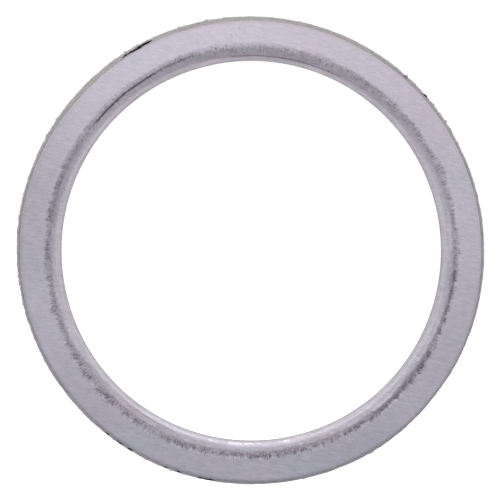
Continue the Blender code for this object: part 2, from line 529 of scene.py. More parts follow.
# Tufts that stand up from the cut edge's upper plies: direction, half length in degrees, mm
TUFTS = (
    (31.5, 0.5, 0.16), (33.6, 0.5, 0.22), (34.7, 0.4, 0.1), (35.9, 0.5, 0.06), (37.0, 0.4, 0.07),
    (38.7, 0.6, 0.17), (41.5, 0.5, 0.05), (48.4, 0.6, 0.13), (54.2, 0.5, 0.08), (56.0, 0.8, 0.05),
    (75.0, 0.5, 0.05), (82.0, 0.5, 0.05), (101.2, 0.8, 0.15), (107.8, 0.9, 0.08),
    (116.3, 0.5, 0.08), (119.2, 0.5, 0.11), (122.3, 0.6, 0.15), (125.5, 0.5, 0.08),
    (127.2, 0.6, 0.08), (132.3, 0.6, 0.08), (145.9, 0.9, 0.18), (150.6, 0.6, 0.16),
    (166.2, 0.6, 0.13), (174.4, 0.9, 0.14), (177.6, 0.5, 0.1), (179.0, 0.5, 0.1),
    (195.0, 0.5, 0.07), (205.5, 0.5, 0.07), (208.0, 0.5, 0.07), (226.5, 0.4, 0.09),
    (233.8, 0.6, 0.07), (243.0, 0.9, 0.05), (249.8, 0.6, 0.09), (283.0, 0.5, 0.09),
    (301.0, 1.2, 0.08), (316.0, 0.8, 0.05), (334.0, 0.5, 0.07),
)
TUFTS_FROM = 0.45
TUFTS_RISE = 0.3

# How warm the fibre's colour is: direction, 0 for grey to 1 for olive
WARM_FIBRE = (
    (0, 0.0), (30, 0.15), (50, 0.35), (75, 0.7), (100, 1.0), (140, 0.9), (155, 0.4), (175, 0.1),
    (200, 0.1), (230, 0.2), (290, 0.0), (360, 0.0),
)

# Gaps beside the sheet's free edge: first and last direction, radius and width in mm
EDGE_GAPS = (
    (115.2, 123.8, 22.12, 0.18), (41.1, 42.5, 22.19, 0.12), (47.8, 49.0, 22.16, 0.11),
    (3.6, 4.4, 22.16, 0.07), (13.5, 14.4, 22.16, 0.08), (247.9, 249.1, 22.2, 0.1),
    (251.2, 252.3, 22.18, 0.12), (256.6, 258.6, 22.19, 0.12), (258.4, 261.2, 22.18, 0.15),
    (231.0, 232.4, 22.17, 0.09), (234.3, 236.6, 22.17, 0.12), (238.0, 239.5, 22.17, 0.13),
)
OUTER_TEAR_MM = 0.045
SLOW_TEAR_MM = 0.04
INNER_TEAR_MM = 0.02
GAP_EASE_MM = 0.03
GAP_DEPTH = 0.6 * MM


def core_rows(size):
    """The core's section: the cut outer wall, the top face, the inner wall and the bottom face."""
    inset = size.sheet + size.core_slack
    corner = size.bend_inside - size.core_slack
    top = THICKNESS - inset
    wall_r = size.core_radius
    bend = size.sheet + size.bend_inside
    bend_centre = (size.bore / 2 + bend, THICKNESS - bend)
    rim_centre = (wall_r - CORE_EDGE_ROUND, top - CORE_EDGE_ROUND)
    face_r = wall_r - np.array(CORE_FACE_STEPS_MM) * MM
    face = np.stack((face_r, 0 * face_r + top, 0 * face_r, 0 * face_r + 1.0), axis=-1)
    upper = np.concatenate((
        arc_rows(rim_centre, CORE_EDGE_ROUND, 0.0, 90.0, CORNER_ROWS),
        face,
        arc_rows(bend_centre, corner, 90.0, 180.0, CORNER_ROWS, True),
    ))
    wall_z = np.linspace(inset + CORE_EDGE_ROUND, top - CORE_EDGE_ROUND, WALL_ROWS)
    wall = np.stack((0 * wall_z + wall_r, wall_z, 0 * wall_z + 1.0, 0 * wall_z), axis=-1)
    return np.concatenate((wall, upper, turned_over(upper)))


def ply_grooves(size, height, turns):
    """The dips between the plies of the cut wall, 0 to 1, with joints that wander a little."""
    low = size.sheet + size.core_slack
    share = (height - low) / (THICKNESS - 2 * low)
    ply = (THICKNESS - 2 * low) / PLY_COUNT
    place = (height - low) / ply + PLY_DRIFT * uneven("ply_drift", size.seed, turns, share)
    from_joint = np.abs(place - np.round(place)) * ply
    inner = (place > 0.5) & (place < PLY_COUNT - 0.5)
    return hump(from_joint, 0.0, size.groove_width / 2) * inner


def edge_gaps(degrees, radius, turns, seed):
    """Where the fibre has torn away beside the sheet's free edge, 0 to 1."""
    opened = np.zeros_like(degrees * radius)
    outer_tear = OUTER_TEAR_MM * uneven("outer_tear", seed, turns)
    outer_tear = outer_tear + SLOW_TEAR_MM * uneven("outer_tear_slow", seed, turns)
    inner_tear = INNER_TEAR_MM * uneven("inner_tear", seed, turns)
    for first, last, middle, width in EDGE_GAPS:
        half = (last - first) / 2
        from_middle = np.clip(angle_gap(degrees, first + half) / half, 0.0, 1.0)
        half_width = width / 2 * np.sqrt(1.0 - from_middle**2)
        off = radius / MM - middle
        torn = np.where(off > 0.0, outer_tear, inner_tear) * (half_width > 0.0)
        inside = smooth((half_width + torn - np.abs(off)) / GAP_EASE_MM)
        opened = np.maximum(opened, inside * (from_middle < 1.0))
    return opened


def tufts(degrees, share):
    """How far the tufts stand out at the upper plies, in metres."""
    total = np.zeros_like(degrees * share)
    for centre, half, height in TUFTS:
        total = total + height * MM * (1.0 - smooth(angle_gap(degrees, centre) / half))
    return total * smooth((share - TUFTS_FROM) / TUFTS_RISE)


def make_core(size, material):
    """The pressed core as one closed ring, with its plies, fraying, tufts and torn gaps."""
    turns = (np.arange(CORE_COLUMNS) / CORE_COLUMNS)[:, None]
    degrees = turns * 360.0
    rows = core_rows(size)
    row_radius, row_height, outward_r, outward_z = (rows[None, :, k] for k in range(4))
    share = np.clip(row_height / THICKNESS, 0.0, 1.0)
    cut = near_rim(row_radius, *CORE_CUT_RISE_MM)

    grooves = ply_grooves(size, row_height, turns) * (outward_r > STRAIGHT_OUT)
    frayed = FRAY_SHARES["rough"] * uneven("rough", size.seed, turns, share)
    flakes = uneven("flakes", size.seed, turns, share)
    teeth = uneven("teeth", size.seed, turns, TEETH_LEAN * share)
    frayed = frayed + FRAY_SHARES["flakes"] * np.abs(flakes)
    frayed = frayed + FRAY_SHARES["teeth"] * np.abs(teeth) - FRAY_LEVEL
    pushed = by_direction(degrees, RAGGEDNESS) * size.fray_depth * frayed
    pushed = pushed - size.groove_depth * grooves + tufts(degrees, share)
    stray = by_direction(degrees, CORE_STRAY) * MM

    opened = edge_gaps(degrees, row_radius + cut * stray, turns, size.seed)
    opened = opened * (outward_z > PARTLY_TURNED)
    first, last = CORE_TOP_SPAN_MM
    across = np.clip((row_radius / MM - first) / (last - first), 0.0, 1.0)
    top_rough = uneven("core_top", size.seed, turns, across)
    sag = size.fray_depth * SAG_SHARE * (0.5 + 0.5 * top_rough) * cut * np.abs(outward_z)
    radius = np.minimum(row_radius + cut * (stray + outward_r * pushed), box_reach(degrees))
    height = row_height - outward_z * sag - GAP_DEPTH * opened
    core = ring_object("fibre_core", radius, height, turns)
    raised = np.where(outward_r > PARTLY_TURNED, pushed / FULLY_RAISED, top_rough)
    keep_values(
        core, radius.shape, ply_joint=grooves, gap=opened, raised=np.clip(raised, -1.0, 1.0) * cut,
        warm=by_direction(degrees, WARM_FIBRE),
    )
    place_piece(core, material, "core")


# Loose fibres

FIBRE_SIDES = 3
FIBRE_POINTS = 5
FIBRE_LENGTH_MM = (0.35, 1.4)
FIBRE_HALF_THICKNESS_MM = (0.006, 0.013)
FIBRE_HEIGHTS = (1.6, 1.0)
FIBRE_CLIMB = 0.25
FIBRE_LIFT_MM = 0.16
FIBRE_BOW_MM = 0.06
FIBRE_RISE_MM = 0.02
FIBRE_SUNK_MM = 0.01
FIBRE_TAPER = 0.6
FIBRE_CURL = 1.5
FIBRE_FROM_BOX_MM = 0.02
FIBRE_MARGIN_MM = 0.1


def fibre_faces(count, clockwise):
    """The sides and end caps of every fibre, facing outwards whichever way round it runs."""
    first = np.arange(count)[:, None, None] * FIBRE_POINTS * FIBRE_SIDES
    step = np.arange(FIBRE_POINTS - 1)[None, :, None] * FIBRE_SIDES
    side = np.arange(FIBRE_SIDES)
    a = first + step + side
    b = first + step + (side + 1) % FIBRE_SIDES
    quads = np.stack((a, b, b + FIBRE_SIDES, a + FIBRE_SIDES), axis=-1)
    quads = np.where(clockwise[:, None, None, None], quads, quads[..., ::-1])
    near = first[:, 0] + side
    far = near + (FIBRE_POINTS - 1) * FIBRE_SIDES
    near = np.where(clockwise[:, None], near[:, ::-1], near)
    far = np.where(clockwise[:, None], far, far[:, ::-1])
    return quads.reshape(-1, 4).tolist() + near.tolist() + far.tolist()


def make_fibres(size, material):
    """Short hairs that lie along the cut edge and lift off it at their ends."""
    rng = np.random.default_rng(size.seed + FIBRE_SEED)
    count = size.fibre_count
    start = rng.uniform(0.0, math.tau, count)
    length = rng.uniform(*FIBRE_LENGTH_MM, count) * MM
    way_round = rng.choice((-1.0, 1.0), count)
    share = rng.beta(*FIBRE_HEIGHTS, count)
    climb = rng.normal(0.0, FIBRE_CLIMB, count)
    ragged = by_direction(np.degrees(start), RAGGEDNESS)
    lift = rng.uniform(0.0, 1.0, count) ** 2 * FIBRE_LIFT_MM * MM * ragged
    thick = rng.uniform(*FIBRE_HALF_THICKNESS_MM, count) * MM
    steps = np.linspace(0.0, 1.0, FIBRE_POINTS)[None, :]
    arch = MM * np.sin(steps * math.pi)
    bow = rng.normal(0.0, FIBRE_BOW_MM, count)[:, None] * arch

    stray = by_direction(np.degrees(start), CORE_STRAY) - FIBRE_SUNK_MM
    wall = (size.core_radius + stray * MM)[:, None]
    radius = wall + lift[:, None] * steps**FIBRE_CURL + FIBRE_RISE_MM * arch
    angle = start[:, None] + (way_round * length)[:, None] * steps / wall
    radius = np.minimum(radius, box_reach(np.degrees(angle)) - FIBRE_FROM_BOX_MM * MM)
    low = size.sheet + size.core_slack + FIBRE_MARGIN_MM * MM
    height = (low + share * (THICKNESS - 2 * low))[:, None]
    height = np.clip(height + (climb * length)[:, None] * steps + bow, low, THICKNESS - low)

    side = np.arange(FIBRE_SIDES) * math.tau / FIBRE_SIDES
    half = (thick[:, None] * (1.0 - FIBRE_TAPER * steps))[:, :, None]
    tube_r = radius[:, :, None] + half * np.cos(side)
    tube_z = height[:, :, None] + half * np.sin(side)
    angle = angle[:, :, None]
    points = np.stack((tube_r * np.cos(angle), tube_r * np.sin(angle), tube_z), axis=-1)
    fibres = mesh_object("loose_fibres", points, fibre_faces(count, way_round < 0.0))
    place_piece(fibres, material)


# Shader building


class Nodes:
    """A short way to add and join the nodes of one tree."""

    def __init__(self, tree):
        self.tree = tree

    def add(self, kind, values=None, **settings):
        node = self.tree.nodes.new(kind)
        for name, value in settings.items():
            setattr(node, name, value)
        return self.fill(node, values or {})

    def fill(self, node, values):
        """Sets or links each named input of a node."""
        for name, value in values.items():
            self.put(value, node.inputs[name])
        return node

    def put(self, value, socket):
        """Links an output to the socket, or sets the socket to a plain value."""
        if isinstance(value, bpy.types.NodeSocket):
            self.tree.links.new(value, socket)
        else:
            socket.default_value = value

    def math(self, operation, a, b=0.0, c=0.0):
        return self.add("ShaderNodeMath", {0: a, 1: b, 2: c}, operation=operation).outputs[0]

    def product(self, first, *others):
        for value in others:
            first = self.math("MULTIPLY", first, value)
        return first

    def total(self, start, *parts):
        """start, and each value of the parts times its weight."""
        for value, weight in parts:
            start = self.math("MULTIPLY_ADD", value, weight, start)
        return start

    def vector(self, operation, first, second):
        values = {0: first, "Scale" if operation == "SCALE" else 1: second}
        return self.add("ShaderNodeVectorMath", values, operation=operation).outputs

    def mix(self, factor, a, b):
        """A colour between two others."""
        node = self.add("ShaderNodeMix", data_type="RGBA")
        return self.fill(node, {"Factor": factor, "A": a, "B": b}).outputs["Result"]

    def spread(self, value, low, high, to_low=0.0, to_high=1.0):
        """The value moved from one range to another, and held inside it."""
        names = ("Value", "From Min", "From Max", "To Min", "To Max")
        node = self.add("ShaderNodeMapRange", dict(zip(names, (value, low, high, to_low, to_high))))
        return node.outputs["Result"]

    def named(self, name):
        return self.add("ShaderNodeAttribute", attribute_name=name).outputs["Fac"]


def opaque(colour):
    return (*colour, 1.0)


def node_group(name, inputs, outputs):
    """A shader group with named sockets. Returns its helper, inputs and outputs."""
    tree = bpy.data.node_groups.new(name, "ShaderNodeTree")
    for label, default in inputs.items():
        kind = "NodeSocketVector" if default is None else "NodeSocketFloat"
        socket = tree.interface.new_socket(label, in_out="INPUT", socket_type=kind)
        if default is not None:
            socket.default_value = default
    for label, kind in outputs.items():
        tree.interface.new_socket(label, in_out="OUTPUT", socket_type=kind)
    nodes = Nodes(tree)
    source = nodes.add("NodeGroupInput")
    target = nodes.add("NodeGroupOutput")
    return nodes, source.outputs, target.inputs


def contrasted(nodes, noise, middle, half, socket):
    """Sends a noise to a group's output, drawn apart round a middle value."""
    low = nodes.math("SUBTRACT", middle, half)
    high = nodes.math("ADD", middle, half)
    nodes.put(nodes.spread(noise.outputs["Fac"], low, high), socket)


PLACES_RADIUS_MM = 20.0


def ring_places_group():
    """Places round the ring, in millimetres, for patterns that follow it without a seam."""
    outputs = {"Round": "NodeSocketVector", "Radius": "NodeSocketFloat",
               "Height": "NodeSocketFloat", "Place": "NodeSocketVector"}
    nodes, _, out = node_group("Ring Places", {}, outputs)
    place = nodes.add("ShaderNodeTexCoord").outputs["Object"]
    in_mm = nodes.vector("MULTIPLY", place, (1.0 / MM,) * 3)[0]
    parts = nodes.add("ShaderNodeSeparateXYZ", {0: in_mm}).outputs
    flat = nodes.add("ShaderNodeCombineXYZ", {"X": parts["X"], "Y": parts["Y"]}).outputs[0]
    radius = nodes.add("ShaderNodeVectorMath", {0: flat}, operation="LENGTH").outputs["Value"]
    direction = nodes.add("ShaderNodeVectorMath", {0: flat}, operation="NORMALIZE").outputs[0]
    on_ring = nodes.vector("MULTIPLY", direction, (PLACES_RADIUS_MM,) * 3)[0]
    for value, label in zip((on_ring, radius, parts["Z"], in_mm), outputs):
        nodes.put(value, out[label])
    return nodes.tree


def drawn_lines_group():
    """Fine lines drawn one way: long along the sheet, and close together across it."""
    nodes, given, out = node_group("Drawn Lines", {
        "Vector": None, "Turn": 0.0, "Lines per mm": 3.0, "Length in mm": 3.0, "Contrast": 0.25,
    }, {"Lines": "NodeSocketFloat"})
    turned = nodes.add("ShaderNodeVectorRotate", {"Vector": given["Vector"], "Angle": given["Turn"]},
                       rotation_type="Z_AXIS").outputs[0]
    along = nodes.math("DIVIDE", 1.0, given["Length in mm"])
    scale = nodes.add("ShaderNodeCombineXYZ", {"X": along, "Y": given["Lines per mm"], "Z": along})
    stretched = nodes.vector("MULTIPLY", turned, scale.outputs[0])[0]
    noise = nodes.add("ShaderNodeTexNoise", {"Vector": stretched, "Scale": 1.0, "Detail": 2.0,
                                             "Roughness": 0.6})
    contrasted(nodes, noise, 0.5, given["Contrast"], out["Lines"])
    return nodes.tree


def ring_lines_group():
    """Lines that follow the ring or cross it, by how fast they change along and across it."""
    nodes, given, out = node_group("Ring Lines", {
        "Round": None, "Across place": 0.0, "Along": 0.3, "Across": 5.0, "Contrast": 0.2,
    }, {"Lines": "NodeSocketFloat"})
    along = nodes.vector("SCALE", given["Round"], given["Along"])[0]
    across = nodes.math("MULTIPLY", given["Across place"], given["Across"])
    lifted = nodes.add("ShaderNodeCombineXYZ", {"Z": across}).outputs[0]
    place = nodes.vector("ADD", along, lifted)[0]
    noise = nodes.add("ShaderNodeTexNoise", {"Vector": place, "Scale": 1.0, "Detail": 2.0})
    contrasted(nodes, noise, 0.5, given["Contrast"], out["Lines"])
    return nodes.tree


def blotches_group():
    """Soft uneven patches."""
    nodes, given, out = node_group("Blotches", {
        "Vector": None, "Patches per mm": 1.0, "Cover": 0.5, "Softness": 0.1,
    }, {"Mask": "NodeSocketFloat"})
    noise = nodes.add("ShaderNodeTexNoise", {"Vector": given["Vector"], "Detail": 4.0,
                                             "Scale": given["Patches per mm"], "Roughness": 0.55})
    middle = nodes.math("SUBTRACT", 1.0, given["Cover"])
    contrasted(nodes, noise, middle, given["Softness"], out["Mask"])
    return nodes.tree


GROUP_MAKERS = {
    "Ring Places": ring_places_group,
    "Drawn Lines": drawn_lines_group,
    "Ring Lines": ring_lines_group,
    "Blotches": blotches_group,
}


def placed(nodes, label, **values):
    """A shared group placed in a material, made once. Underscores stand for spaces."""
    tree = bpy.data.node_groups.get(label) or GROUP_MAKERS[label]()
    node = nodes.add("ShaderNodeGroup", node_tree=tree)
    for name, value in values.items():
        nodes.put(value, node.inputs[name.replace("_", " ")])
    return node.outputs


def blotches(nodes, places, per_mm, cover, softness):
    return placed(nodes, "Blotches", Vector=places["Place"], Patches_per_mm=per_mm, Cover=cover,
                  Softness=softness)["Mask"]


def drawn_lines(nodes, places, turn, per_mm, length, contrast):
    return placed(nodes, "Drawn Lines", Vector=places["Place"], Turn=turn, Lines_per_mm=per_mm,
                  Length_in_mm=length, Contrast=contrast)["Lines"]


def ring_lines(nodes, places, along, across, contrast):
    across_place = nodes.math("ADD", places["Radius"], places["Height"])
    return placed(nodes, "Ring Lines", Round=places["Round"], Across_place=across_place,
                  Along=along, Across=across, Contrast=contrast)["Lines"]


def new_material(name):
    material = bpy.data.materials.new(name)
    material.use_nodes = True
    return material, Nodes(material.node_tree), material.node_tree.nodes["Principled BSDF"]


# Finishes

# The sheet's patches: patches per mm, cover, softness
METAL_PATCHES = {
    "clouds": (0.35, 0.5, 0.25),
    "hue": (0.22, 0.5, 0.16),
    "grain": (7.0, 0.5, 0.15),
    "specks": (3.5, 0.29, 0.03),
    "smudges": (1.8, 0.50, 0.10),
    "pits": (4.2, 0.46, 0.05),
    "glint": (2.0, 0.47, 0.03),
}
# Lines rolled into the sheet: lines per mm, length in mm, contrast
ROLLED_LINES = {"rolled": (3.8, 0.9, 0.17), "fine": (8.0, 1.1, 0.17)}
# Lines drawn along the bends, and radial ticks: changes per mm along and across, contrast
BEND_LINES = {"drawn": (0.35, 5.0, 0.2), "ticks": (9.0, 1.5, 0.10)}
METAL_VALUES = ("band_place", "band_marks", "crease_off", "creased", "past_bend", "cut_edge",
                "polished", "dulled", "rubbed")

# Places past the start of the bend, in mm: where the drawn lines begin and are full, where the
# fold turns steep, and where the band's own colour begins
BENT_MM = (0.3, 1.3)
STEEP_MM = (1.1, 1.6)
BAND_COLOUR_MM = (-0.05, 0.2)
BAND_COLOUR_SHARE = 0.8

# The band's ragged outline: how far ticks and smudges push it, and where it fades, in half widths
OUTLINE_TICKS = 0.42
OUTLINE_SMUDGES = 0.45
OUTLINE_FADE = (1.40, 0.40)

# The pattern cut into the band, and the band's darkening: partly staining, partly painted shade
CUT_TICKS = 0.45
CUT_PITS = 0.28
CUT_SMUDGES = 0.5
CUT_MEAN = 0.31
CUT_STRENGTH = 0.9
CUT_IN_MARKS = 0.35
STAIN_AND_SHADE = 0.40
STAIN_AND_SHADE_SMUDGES = 0.13
SPECK_STRENGTH = 0.14

# A crease's fade in mm, how far ticks nibble at it, and its strength between and in the ticks
CREASE_FADE_MM = 0.14
CREASE_NIBBLE_MM = 0.04
CREASE_STRENGTH = 0.82
CREASE_TICKS = 0.2

# What the sheet's brightness, roughness and relief are made of
METAL_BASE_TONE = 0.63
# In the brightness, the steep turn of the fold is a little darker as painted shade
METAL_TONE = {"rolled": 0.10, "fine": 0.085, "grain": 0.075, "clouds": 0.03,
              "drawn_tone": 0.20, "polished": 0.16, "cut": -0.42, "dulled": -0.775,
              "steep": -0.09}
METAL_ROUGHNESS = {"rolled": 0.05, "inside": 0.06, "steep": 0.06, "glint": -0.10}
METAL_RELIEF = {"fine": 0.25, "rolled": 0.5, "drawn_bend": 1.0, "pressed": -3.0}
CUT_EDGE_SHARE = 0.8

FIBRE_PATCHES = {"patches": (1.1, 0.5, 0.2), "crumbs": (6.0, 0.42, 0.08)}
STRANDS = (0.9, 6.5, 0.2)
WARM_PATCHES = 0.7
WARM_BASE = 0.65
RAISED_PALE = 0.6
STRAND_PALE = 0.35
JOINT_DARK = 0.55
CRUMB_DARK = 0.3
CRUMB_RELIEF = -0.6
FIBRE_ROUGHNESS = 0.92
FIBRE_SPECULAR = 0.25
FIBRE_BUMP = 0.9
STRAND_DEPTH = 0.03 * MM


def sheet_look(nodes, turn):
    """Every pattern and value that the sheet's finish uses, by name."""
    places = placed(nodes, "Ring Places")
    look = {name: blotches(nodes, places, *way) for name, way in METAL_PATCHES.items()}
    for name, way in ROLLED_LINES.items():
        look[name] = drawn_lines(nodes, places, turn, *way)
    for name, way in BEND_LINES.items():
        look[name] = ring_lines(nodes, places, *way)
    for name in METAL_VALUES:
        look[name] = nodes.named(name)
    look = SimpleNamespace(**look, place=places["Place"])
    look.steep = nodes.spread(look.past_bend, *STEEP_MM)
    look.bent = nodes.spread(look.past_bend, *BENT_MM)
    look.drawn_bend = nodes.product(look.drawn, look.bent)
    look.drawn_tone = nodes.product(nodes.math("SUBTRACT", look.drawn, 0.5), look.bent)
    look.glint = nodes.product(look.rubbed, look.glint)
    return look


def add_band(nodes, look):
    """The crinkled band: its ragged outline, the pattern cut into it, its staining and painted
    shade.
    """
    frayed = nodes.math("SUBTRACT", look.band_place, (OUTLINE_TICKS + OUTLINE_SMUDGES) / 2)
    frayed = nodes.total(frayed, (look.ticks, OUTLINE_TICKS), (look.smudges, OUTLINE_SMUDGES))
    look.inside = nodes.spread(nodes.math("ABSOLUTE", frayed), *OUTLINE_FADE)
    pitted = nodes.product(nodes.total(CUT_PITS, (look.ticks, CUT_TICKS)), look.pits)
    detail = nodes.total(pitted, (look.ticks, CUT_TICKS))
    detail = nodes.product(detail, nodes.total(1.0 - CUT_SMUDGES, (look.smudges, CUT_SMUDGES)))
    cut = nodes.product(nodes.math("SUBTRACT", detail, CUT_MEAN), CUT_STRENGTH)
    stain = nodes.product(nodes.total(STAIN_AND_SHADE, (look.smudges, STAIN_AND_SHADE_SMUDGES)), look.band_marks)
    look.cut = nodes.product(cut, look.inside)
    look.pressed = nodes.product(nodes.math("ADD", stain, cut), look.inside)
    look.stained = nodes.product(nodes.total(stain, (cut, CUT_IN_MARKS)), look.inside)


def dark_marks_and_shade(nodes, look, strength):
    """The band's staining and painted shade, fine specks and the small dark spots of the front face.
    """
    marks = nodes.product(look.stained, strength)
    marks = nodes.math("MAXIMUM", marks, nodes.product(look.specks, SPECK_STRENGTH))
    for x, y, radius, depth in DARK_SPOTS:
        away = nodes.vector("DISTANCE", look.place, (x, y, THICKNESS / MM))["Value"]
        spot = nodes.spread(away, radius, radius * SPOT_FLOOR, 0.0, depth)
        marks = nodes.math("MAXIMUM", marks, spot)
    return marks


def shaded_creases(nodes, look):
    """Thin lines of painted shade in the creases, which the ticks nibble at."""
    off = nodes.total(nodes.math("ABSOLUTE", look.crease_off), (look.ticks, -CREASE_NIBBLE_MM))
    crease = nodes.product(nodes.spread(off, CREASE_FADE_MM, 0.0), look.creased)
    return nodes.product(crease, nodes.total(CREASE_STRENGTH, (look.ticks, CREASE_TICKS)))


def weighed(nodes, start, look, weights):
    """start, and each named pattern of the look times its weight."""
    return nodes.total(start, *((getattr(look, name), weight) for name, weight in weights.items()))


def metal_material(finish):
    """Satin rolled sheet, darkened and roughened where the tool has crinkled it."""
    material, nodes, shader = new_material("rolled_sheet_metal")
    look = sheet_look(nodes, finish.rolling_turn)
    add_band(nodes, look)
    colour = nodes.mix(look.hue, opaque(finish.metal_colour), opaque(finish.metal_pink_colour))
    greyed = nodes.spread(look.past_bend, *BAND_COLOUR_MM, 0.0, BAND_COLOUR_SHARE)
    greyed = nodes.product(look.inside, greyed)
    colour = nodes.mix(greyed, colour, opaque(finish.band_colour))

    tone = weighed(nodes, METAL_BASE_TONE, look, METAL_TONE)
    colour = nodes.vector("SCALE", colour, tone)["Vector"]
    for mask, tint in (
        (dark_marks_and_shade(nodes, look, finish.mark_and_shade_strength), finish.mark_and_shade_colour),
        (shaded_creases(nodes, look), finish.crease_shade_colour),
        (nodes.product(look.cut_edge, CUT_EDGE_SHARE), finish.edge_and_shade_colour),
        (look.glint, finish.glint_colour),
    ):
        colour = nodes.mix(mask, colour, opaque(tint))
    height = weighed(nodes, 0.0, look, METAL_RELIEF)
    bump = nodes.add("ShaderNodeBump", {
        "Strength": 1.0, "Distance": finish.grain_depth, "Height": height,
    })
    nodes.fill(shader, {
        "Base Color": colour,
        "Metallic": 1.0,
        "Specular Tint": opaque(finish.edge_on_colour),
        "Roughness": weighed(nodes, finish.metal_roughness, look, METAL_ROUGHNESS),
        "Normal": bump.outputs["Normal"],
    })
    return material


def fibre_material(finish):
    """Pressed olive-grey fibre with ply lines, lighter where it stands proud and frayed."""
    material, nodes, shader = new_material("pressed_fibre")
    places = placed(nodes, "Ring Places")
    strands = ring_lines(nodes, places, *STRANDS)
    patches = blotches(nodes, places, *FIBRE_PATCHES["patches"])
    crumbs = blotches(nodes, places, *FIBRE_PATCHES["crumbs"])

    warmth = nodes.product(nodes.total(WARM_BASE, (patches, WARM_PATCHES)), nodes.named("warm"))
    pale = nodes.product(nodes.spread(nodes.named("raised"), 0.0, 1.0), RAISED_PALE)
    pale = nodes.total(pale, (strands, STRAND_PALE))
    dark = nodes.product(nodes.named("ply_joint"), JOINT_DARK)
    dark = nodes.math("MAXIMUM", dark, nodes.product(crumbs, CRUMB_DARK))
    # Painted shade: the torn gaps beside the sheet's free edge are coloured near black
    dark = nodes.math("MAXIMUM", dark, nodes.named("gap"))
    colour = opaque(finish.fibre_colour)
    for mask, tint in (
        (warmth, finish.fibre_warm_colour),
        (pale, finish.fibre_pale_colour),
        (dark, finish.fibre_dark_colour),
    ):
        colour = nodes.mix(mask, colour, opaque(tint))
    height = nodes.total(strands, (crumbs, CRUMB_RELIEF))
    bump = nodes.add("ShaderNodeBump", {
        "Strength": FIBRE_BUMP, "Distance": STRAND_DEPTH, "Height": height,
    })
    nodes.fill(shader, {
        "Base Color": colour,
        "Roughness": FIBRE_ROUGHNESS,
        "Specular IOR Level": FIBRE_SPECULAR,
        "Normal": bump.outputs["Normal"],
    })
    return material


# Stage

FLOOR_SIDES = 96
FLOOR_ROUGHNESS = 0.9
FLOOR_SPECULAR = 0.1
NEAR_FLOOR = (-0.003, -0.011)
OVERHEAD_RISE = (0.2, 0.5)
OVERHEAD_LEAN = 0.10
SENSOR_WIDTH_MM = 36.0
CAMERA_RANGE = (0.01, 10.0)
WHITE = (1.0, 1.0, 1.0, 1.0)

# Lamps: name, place, the point that each faces, width and height
LAMPS = (
    ("key", (0.008, 0.0545, 0.175), (0.008, 0.0545, 0.0), (0.525, 0.101)),
    ("window", (-0.055, 0.19, 0.021), (0.0, 0.0, 0.004), (0.50, 0.046)),
)


def seen_or_mirrored(nodes):
    """1 for a ray from the camera, off metal or through glass."""
    path = nodes.add("ShaderNodeLightPath").outputs
    seen = nodes.math("MAXIMUM", path["Is Camera Ray"], path["Is Glossy Ray"])
    return nodes.math("MAXIMUM", seen, path["Is Transmission Ray"])


def make_floor(stage):
    bpy.ops.mesh.primitive_circle_add(
        vertices=FLOOR_SIDES, radius=stage.floor_radius, fill_type="NGON")
    floor = bpy.context.object
    floor.name = "floor"
    material, nodes, shader = new_material("pale_floor")
    place = nodes.add("ShaderNodeTexCoord").outputs["Object"]
    toward_top = nodes.add("ShaderNodeSeparateXYZ", {0: place}).outputs["Y"]
    # A patch of painted light on the floor's near side, which the metal also mirrors
    near_side = nodes.spread(toward_top, *NEAR_FLOOR)
    glow = nodes.total(stage.floor_glow, (near_side, stage.near_painted_light))
    nodes.fill(shader, {
        "Base Color": opaque(stage.floor_colour),
        "Roughness": FLOOR_ROUGHNESS,
        "Specular IOR Level": FLOOR_SPECULAR,
        "Emission Color": opaque(stage.glow_colour),
        "Emission Strength": nodes.product(seen_or_mirrored(nodes), glow),
    })
    floor.data.materials.append(material)


def make_world(stage):
    """Soft studio surroundings: brighter low down beyond the ring. The camera sees them white."""
    world = bpy.data.worlds.new("studio")
    bpy.context.scene.world = world
    world.use_nodes = True
    nodes = Nodes(world.node_tree)
    direction = nodes.add("ShaderNodeTexCoord").outputs["Generated"]
    parts = nodes.add("ShaderNodeSeparateXYZ", {0: direction}).outputs
    far = nodes.math("MAXIMUM", parts["Y"], 0.0)
    overhead = nodes.spread(nodes.total(parts["Z"], (far, -OVERHEAD_LEAN)), *OVERHEAD_RISE)
    beyond = nodes.spread(parts["Y"], -1.0, 0.0)
    low = nodes.mix(beyond, opaque(stage.near_colour), opaque(stage.far_colour))
    colour = nodes.mix(overhead, low, opaque(stage.overhead_colour))
    seen = nodes.add("ShaderNodeLightPath").outputs["Is Camera Ray"]
    background = world.node_tree.nodes["Background"]
    nodes.fill(background, {"Color": nodes.mix(seen, colour, WHITE), "Strength": 1.0})


def make_lamp(name, place, target, size, power, colour):
    """A softbox that faces its target and isn't seen by the camera itself."""
    data = bpy.data.lights.new(name, "AREA")
    data.shape = "RECTANGLE"
    data.size, data.size_y = size
    data.energy = power
    data.color = colour
    lamp = bpy.data.objects.new(name, data)
    bpy.context.scene.collection.objects.link(lamp)
    lamp.location = place
    lamp.rotation_euler = (Vector(target) - Vector(place)).to_track_quat("-Z", "Y").to_euler()
    lamp.visible_camera = False


